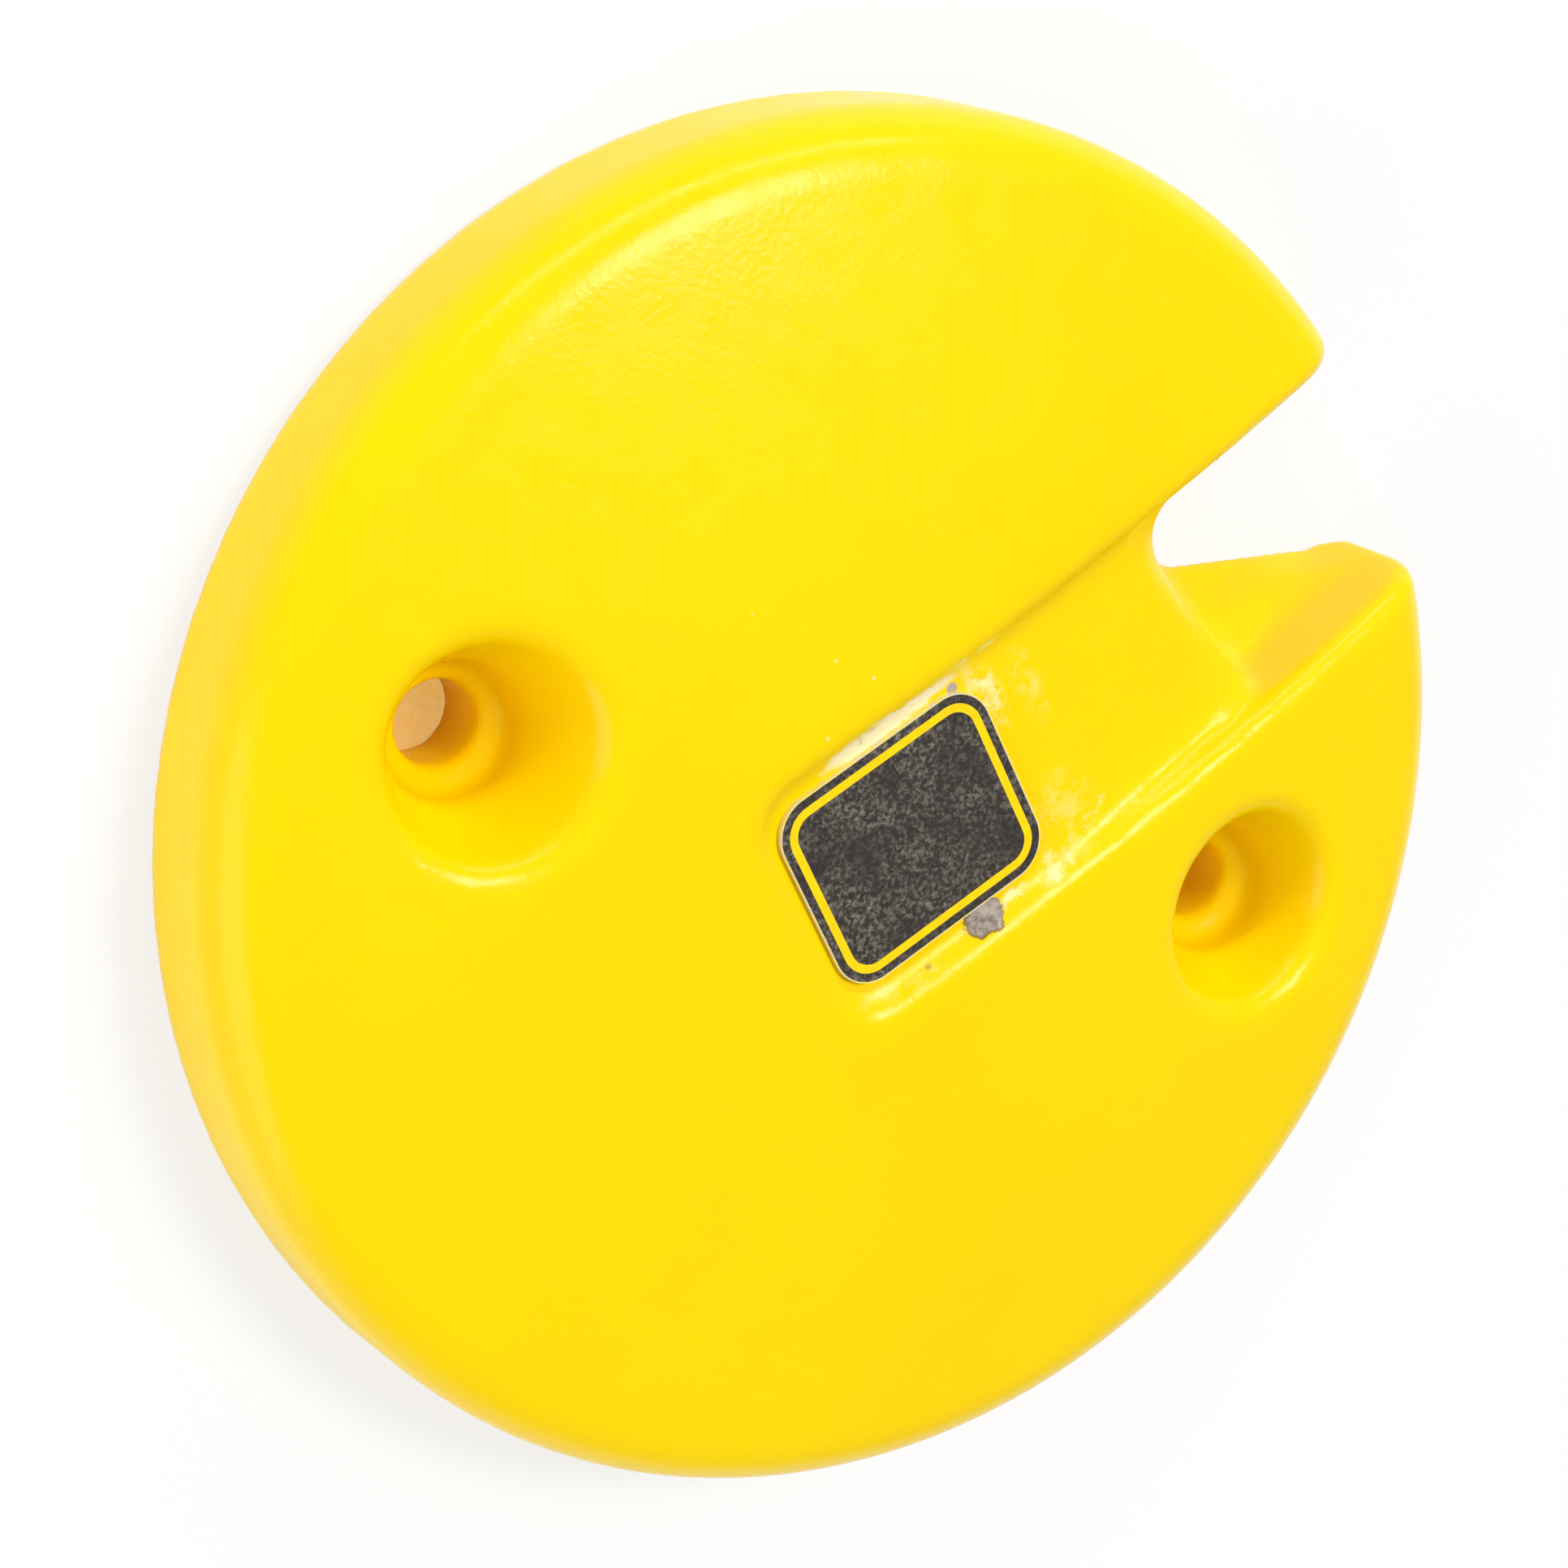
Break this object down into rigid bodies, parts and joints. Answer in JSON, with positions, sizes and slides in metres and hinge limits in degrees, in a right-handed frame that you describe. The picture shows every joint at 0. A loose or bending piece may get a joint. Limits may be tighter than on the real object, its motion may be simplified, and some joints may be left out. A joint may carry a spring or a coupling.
{
  "type": "rear wheel weight",
  "caption": "Round cast wheel weight with a crowned face, two deep bolt pockets, and a channel that carries a plain badge plate and opens into a valve-stem notch in the rim.",
  "frame": {"origin": "centre of the flat back face, which is also the centre of the bolt circle", "axes": "+Z out of the crowned face, +X along the channel towards the valve-stem notch"},
  "size_m": [0.2831, 0.286, 0.0477],
  "materials": {
    "yellow_paint": "gloss",
    "badge_black": "satin"
  },
  "bodies": {
    "root": {"cast_weight": "yellow_paint", "badge_plate": "badge_black"}
  },
  "joints": []
}
